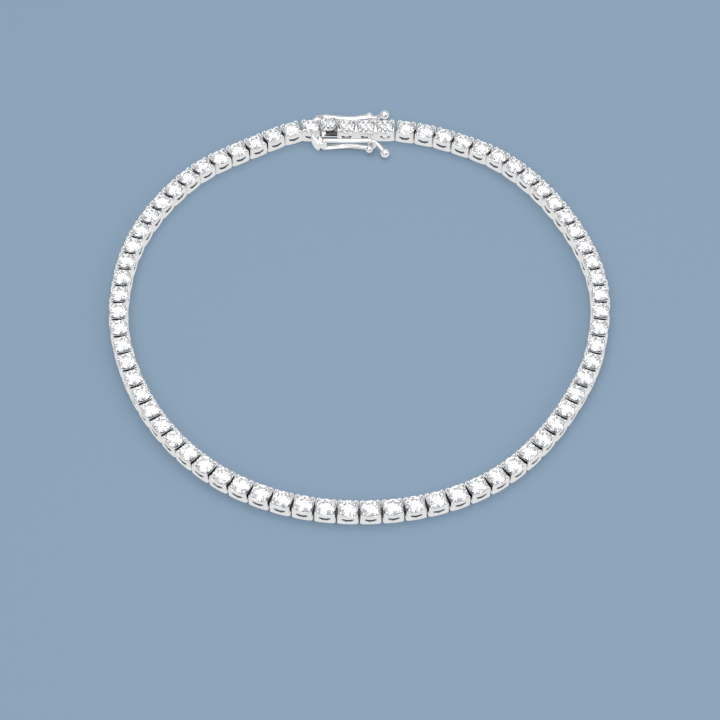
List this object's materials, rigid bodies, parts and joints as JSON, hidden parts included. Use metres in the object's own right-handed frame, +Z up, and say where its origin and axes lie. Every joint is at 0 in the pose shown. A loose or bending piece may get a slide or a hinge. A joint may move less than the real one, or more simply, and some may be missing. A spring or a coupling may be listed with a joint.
{
  "type": "tennis bracelet",
  "caption": "Slim closed bracelet of round clear stones in four-claw settings, lying in a loop, with a box clasp, press tongue and twin figure-8 safety latches.",
  "frame": {"origin": "the middle of the lying loop's plan, on the surface that it lies on", "axes": "+Z up, out of the plane that the bracelet lies in; +Y towards the clasp; +X towards the clasp's box end"},
  "size_m": [0.059, 0.0604, 0.0024],
  "materials": {
    "white_gold": "mirror-polished rhodium-plated white gold",
    "spring_gold": "bright rolled white gold, a little greyer than the settings",
    "clear_stone": "colourless round brilliant-cut stone, polished facets"
  },
  "bodies": {
    "root": {"strand_1": "white_gold", "strand_2": "white_gold", "strand_3": "white_gold", "strand_4": "white_gold", "strand_5": "white_gold", "strand_6": "white_gold", "strand_7": "white_gold", "strand_8": "white_gold", "tongue_link": "white_gold", "clasp_box": "white_gold", "tongue_stone": "clear_stone", "box_stone_1": "clear_stone", "box_stone_2": "clear_stone", "box_stone_3": "clear_stone"},
    "latch_inner": {"latch_inner": "white_gold"},
    "latch_outer": {"latch_outer": "white_gold"},
    "press": {"press_tongue": "spring_gold", "press_stone": "clear_stone"}
  },
  "joints": [
    {"name": "latch_inner_hinge", "type": "hinge", "parent": "root", "child": "latch_inner", "pos_m": [-0.00459, 0.02456, 0.00085], "axis": [0, 0, -1], "range_deg": [0, 100]},
    {"name": "latch_outer_hinge", "type": "hinge", "parent": "root", "child": "latch_outer", "pos_m": [-0.00459, 0.02848, 0.00085], "axis": [0, 0, 1], "range_deg": [0, 100]},
    {"name": "press_flex", "type": "hinge", "parent": "root", "child": "press", "pos_m": [0.00258, 0.02676, 0.00057], "axis": [0, -1, 0], "range_deg": [0, 2.2], "stiffness_Nm_per_rad": 0.05}
  ]
}
